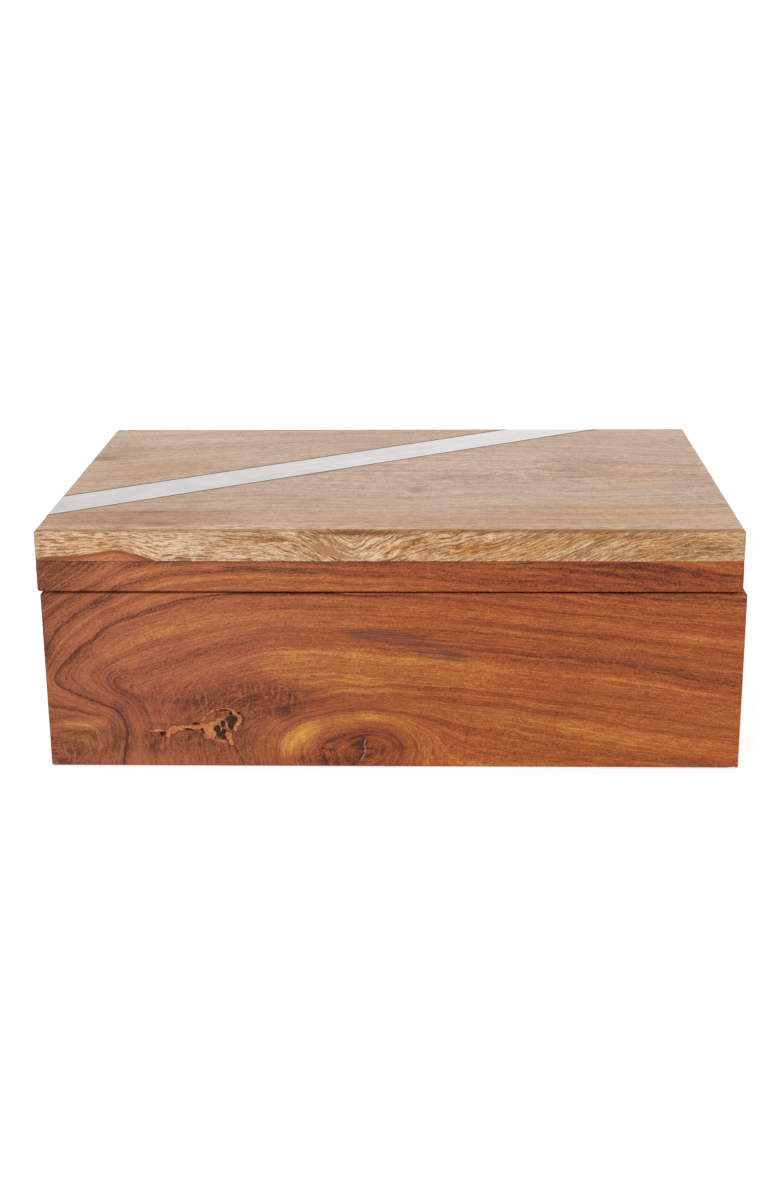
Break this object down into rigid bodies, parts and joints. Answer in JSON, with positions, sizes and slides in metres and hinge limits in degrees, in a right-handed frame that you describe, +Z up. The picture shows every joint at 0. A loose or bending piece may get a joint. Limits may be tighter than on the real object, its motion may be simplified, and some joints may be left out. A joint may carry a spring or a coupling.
{
  "type": "hinged wooden box",
  "caption": "Low rectangular wooden box with mitred walls and a hinged framed lid, a metal strip inlaid slantwise across the lid.",
  "frame": {"origin": "middle of the underside of the case, on the surface the box stands on", "axes": "+X to the right along the box's width, +Y from the front to the hinges at the back, +Z up"},
  "size_m": [0.306, 0.204, 0.1091],
  "materials": {
    "case_wood": "satin lacquer, red-brown heartwood",
    "lid_rail_wood": "satin lacquer, red-brown heartwood",
    "lid_panel_wood": "satin lacquer, pale tan wood",
    "bottom_wood": "satin, pale wood",
    "spline_wood": "plain, pale wood",
    "inlay_metal": "satin, brushed along the strip",
    "filler": "dark brown resin",
    "brass": "satin",
    "brass_screws": "satin",
    "felt": "wool felt, dark green"
  },
  "bodies": {
    "case": {"front_wall": "case_wood", "back_wall": "case_wood", "left_wall": "case_wood", "right_wall": "case_wood", "bottom_panel": "bottom_wood", "base_felt": "felt", "case_corner_splines": "spline_wood", "left_hinge_case_leaf": "brass", "left_hinge_pin": "brass", "right_hinge_case_leaf": "brass", "right_hinge_pin": "brass", "case_leaf_screws": "brass_screws"},
    "lid": {"lid_front_rail": "lid_rail_wood", "lid_back_rail": "lid_rail_wood", "lid_left_rail": "lid_rail_wood", "lid_right_rail": "lid_rail_wood", "lid_corner_splines": "spline_wood", "lid_panel": "lid_panel_wood", "inlay_strip": "inlay_metal", "inlay_filler": "filler", "left_hinge_lid_leaf": "brass", "right_hinge_lid_leaf": "brass", "lid_leaf_screws": "brass_screws"}
  },
  "joints": [
    {"name": "lid_hinge", "type": "hinge", "parent": "case", "child": "lid", "pos_m": [0, 0.099, 0.08095], "axis": [-1, 0, 0], "range_deg": [0, 95]}
  ]
}
